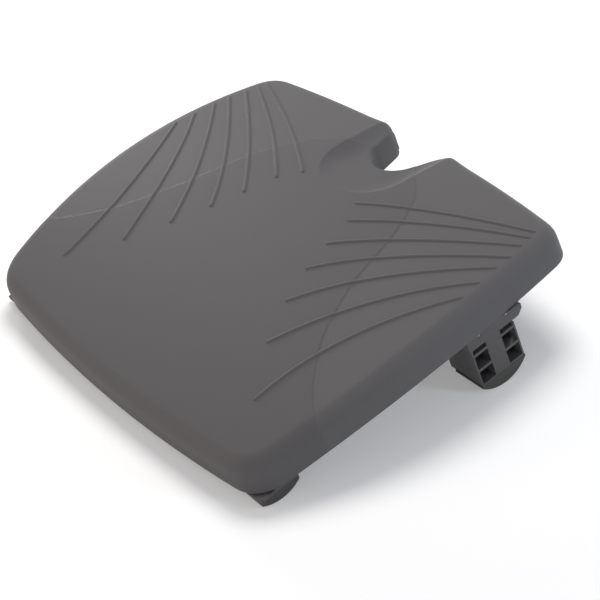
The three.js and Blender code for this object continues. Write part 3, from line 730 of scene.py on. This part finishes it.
def make_turned(node, axis, recess=0.0):
    """A screw or a pin, turned round one axis on its CAD node's levels, with any cross recess."""
    cad = cad_copy(node)
    others = [k for k in range(3) if k != axis]
    spread = {k: [v.co[k] for v in cad.verts] for k in range(3)}
    centre = Vector((0, 0, 0))
    for k in others:
        centre[k] = (min(spread[k]) + max(spread[k])) / 2
    levels = {}
    for vert in cad.verts:
        away = vert.co - centre
        away[axis] = 0
        levels.setdefault(round(vert.co[axis], 2), set()).add(round(away.length, 2))
    cad.free()
    profile = []
    for i, level in enumerate(sorted(levels)):
        profile += [(level, radius) for radius in sorted(levels[level], reverse=i > 0)]
    head = profile[0][0]
    head_radius = max(radius for level, radius in profile if level == head)
    outline = [(level, radius) for level, radius in profile if radius > LEAST_RADIUS]
    if recess:
        floor, mouth = head_radius * RECESS_FLOOR, head_radius * RECESS_MOUTH
        outline = [(head + recess, floor), (head, mouth), *outline]
    outline = [(outline[0][0], 0.0), *outline, (profile[-1][0], 0.0)]
    bm = bmesh.new()
    rows = []
    for step in range(ROUND_STEPS + 1):
        angle = 2 * math.pi * step / ROUND_STEPS
        row = []
        for i, (level, radius) in enumerate(outline):
            arm = abs((angle + math.pi / 4) % (math.pi / 2) - math.pi / 4)
            if recess and i in (1, 2) and arm > RECESS_ARM:
                radius *= RECESS_BETWEEN
            place = Vector(centre)
            place[axis] = level
            place[others[0]] += radius * math.cos(angle)
            place[others[1]] += radius * math.sin(angle)
            row.append(place)
        rows.append(row)
    loft(bm, rows)
    bmesh.ops.remove_doubles(bm, verts=bm.verts, dist=TURNED_MERGE)
    bmesh.ops.recalc_face_normals(bm, faces=bm.faces)
    stand_in(node, bm, TURNED_ANGLE)


def make_feet():
    for end in ("rear", "front"):
        for side in ("right", "left"):
            foot = f"{end}_{side}_"
            softened(foot + "socket", MOULDED_EDGE)
            softened(foot + "leg", MOULDED_EDGE)
            softened(foot + "click_spring", SPRING_EDGE)
            make_sole(foot + "sole")
            make_turned(foot + "spring_screw", 0, SPRING_SCREW_RECESS)
            for k in range(1, 5):
                make_turned(f"{foot}socket_screw_{k}", 2, SOCKET_SCREW_RECESS)
            for k in (1, 2):
                make_turned(f"{foot}stop_pin_{k}", 0 if end == "rear" else 1)


def finish_cad_nodes():
    """Gives the CAD's own nodes the same finishes."""
    for name, node in frame["nodes"].items():
        node.data.materials.clear()
        node.data.materials.append(FINISHES[SLOTS[name]])


# Camera, as solved on the photograph
CAMERA_PLACE = Vector((1.24618, -0.67839, 0.97926))
CAMERA_AIM = Vector((0.07510, -0.02073, 0.06))
CAMERA_ROLL = math.radians(-11.178)
SENSOR = 36
LENS = 119.31
SIGHT = 60

# Floor, world and lamps: the pale levels that the camera sees, and those that light the part.
# The key gives no gloss, because its broad sheen would lie over the rear right of the top.
FLOOR_SIZE = 20
FLOOR_GLOW = 0.25
WORLD_SEEN, WORLD_LIGHT = 1.02, 0.27
KEY_PLACE, KEY_SIZE, KEY_POWER = (-0.42, 0.66, 1.60), 0.9, 23
SHEEN_PLACE, SHEEN_SIZE, SHEEN_POWER = (-1.30, 0.25, 0.50), 0.4, 4.5
STREAK_PLACE, STREAK_SIZE, STREAK_POWER = (1.60, 0.80, 0.55), 0.4, 8
WARM_PLACE, WARM_SIZE, WARM_POWER = (-0.80, -1.50, 0.55), 0.8, 7
FILL_PLACE, FILL_SIZE, FILL_POWER = (1.10, -1.40, 0.35), 0.8, 5
MIDDLE = (0, 0, 0.05)


def make_camera():
    data = bpy.data.cameras.new("camera")
    data.sensor_width = SENSOR
    data.lens = LENS
    data.clip_end = SIGHT
    camera = bpy.data.objects.new("camera", data)
    bpy.context.scene.collection.objects.link(camera)
    aim = (CAMERA_AIM - CAMERA_PLACE).normalized()
    turn = aim.to_track_quat("-Z", "Y").to_matrix().to_4x4()
    roll = Matrix.Rotation(CAMERA_ROLL, 4, "Z")
    camera.matrix_world = Matrix.Translation(CAMERA_PLACE) @ turn @ roll
    bpy.context.scene.camera = camera


def make_floor():
    bm = bmesh.new()
    bmesh.ops.create_grid(bm, x_segments=1, y_segments=1, size=FLOOR_SIZE)
    mesh = bpy.data.meshes.new("floor")
    bm.to_mesh(mesh)
    bm.free()
    floor = bpy.data.objects.new("floor", mesh)
    bpy.context.scene.collection.objects.link(floor)
    material, shader = principled("floor")
    shader.feed(
        Base_Color=colour(0.80, 0.80, 0.81),
        Roughness=0.9,
        Emission_Color=colour(1, 1, 1),
        Emission_Strength=shader.ray("Camera", "Glossy", "Transmission") * FLOOR_GLOW,
    )
    mesh.materials.append(material)


def area_light(name, place, size, power, tint):
    data = bpy.data.lights.new(name, "AREA")
    data.shape = "DISK"
    data.size = size
    data.energy = power
    data.color = tint
    light = bpy.data.objects.new(name, data)
    bpy.context.scene.collection.objects.link(light)
    light.location = place
    light.rotation_mode = "QUATERNION"
    light.rotation_quaternion = (Vector(MIDDLE) - Vector(place)).to_track_quat("-Z", "Y")
    return light


def make_light():
    key = area_light("key", KEY_PLACE, KEY_SIZE, KEY_POWER, (1.0, 0.985, 0.965))
    key.visible_glossy = False
    area_light("sheen", SHEEN_PLACE, SHEEN_SIZE, SHEEN_POWER, (1.0, 0.98, 0.96))
    area_light("streak", STREAK_PLACE, STREAK_SIZE, STREAK_POWER, (0.75, 0.86, 1.0))
    area_light("warm", WARM_PLACE, WARM_SIZE, WARM_POWER, (1.0, 0.85, 0.75))
    area_light("fill", FILL_PLACE, FILL_SIZE, FILL_POWER, (1.0, 0.95, 0.93))
    world = bpy.data.worlds.new("studio")
    bpy.context.scene.world = world
    shader = Shader(world, "Background")
    seen = shader.ray("Camera", "Glossy", "Transmission") * (WORLD_SEEN - WORLD_LIGHT)
    shader.feed(Color=colour(0.97, 0.985, 1), Strength=seen + WORLD_LIGHT)
    bpy.context.scene.view_settings.view_transform = "Standard"


finish_cad_nodes()
make_tray()
make_feet()
make_camera()
make_floor()
make_light()
